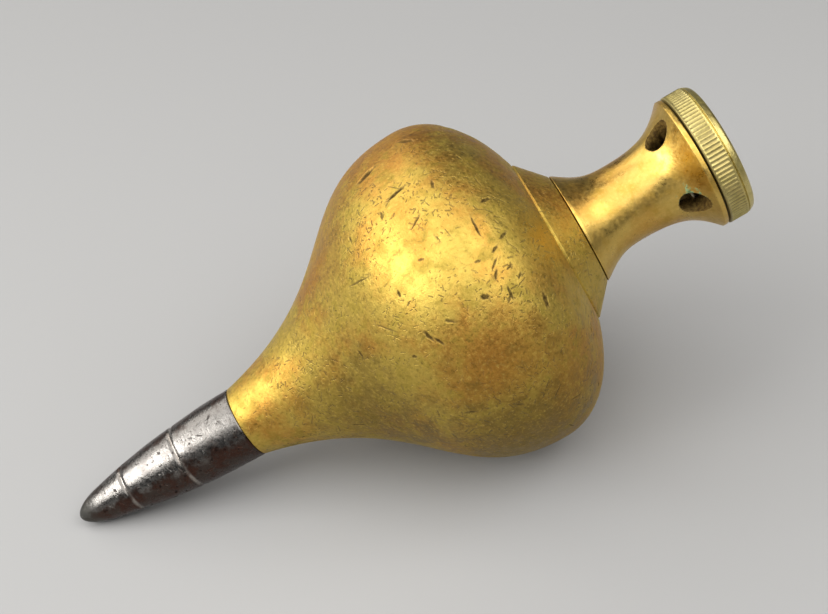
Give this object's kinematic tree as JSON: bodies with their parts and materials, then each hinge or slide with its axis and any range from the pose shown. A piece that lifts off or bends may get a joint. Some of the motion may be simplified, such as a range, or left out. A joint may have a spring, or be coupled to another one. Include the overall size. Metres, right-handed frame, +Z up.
{
  "type": "plumb bob",
  "caption": "Turned brass plumb bob with a turnip-shaped body, a screwed steel point, a flared neck with cord side holes and a knurled screw cap.",
  "frame": {"origin": "on the floor under the middle of the bob's box, with the bob lying on its side on the tip of its point and on its belly", "axes": "+X along the bob's length towards its cap, which is raised 20.3 degrees out of the floor plane; +Y across; +Z up"},
  "size_m": [0.1066, 0.0506, 0.0497],
  "materials": {
    "body_brass": "aged satin brass with dents and a warm brown patina",
    "neck_brass": "rubbed brass, shinier than the body, with an orange-brown patina",
    "cap_brass": "pale knurled brass with dark grime between the ribs",
    "point_steel": "dark brown-black steel with turning marks and light rust"
  },
  "bodies": {
    "point": {"steel_point": "point_steel"},
    "body": {"bob_body": "body_brass"},
    "neck": {"cord_neck": "neck_brass"},
    "cap": {"knurled_cap": "cap_brass"}
  },
  "joints": [
    {"name": "point_unscrew", "type": "slide", "parent": "point", "child": "body", "axis": [0.9376, 0, 0.3476], "range_m": [0, 0.015]},
    {"name": "neck_unscrew", "type": "slide", "parent": "body", "child": "neck", "axis": [0.9376, 0, 0.3476], "range_m": [0, 0.016]},
    {"name": "cap_unscrew", "type": "slide", "parent": "neck", "child": "cap", "axis": [0.9376, 0, 0.3476], "range_m": [0, 0.008]}
  ]
}
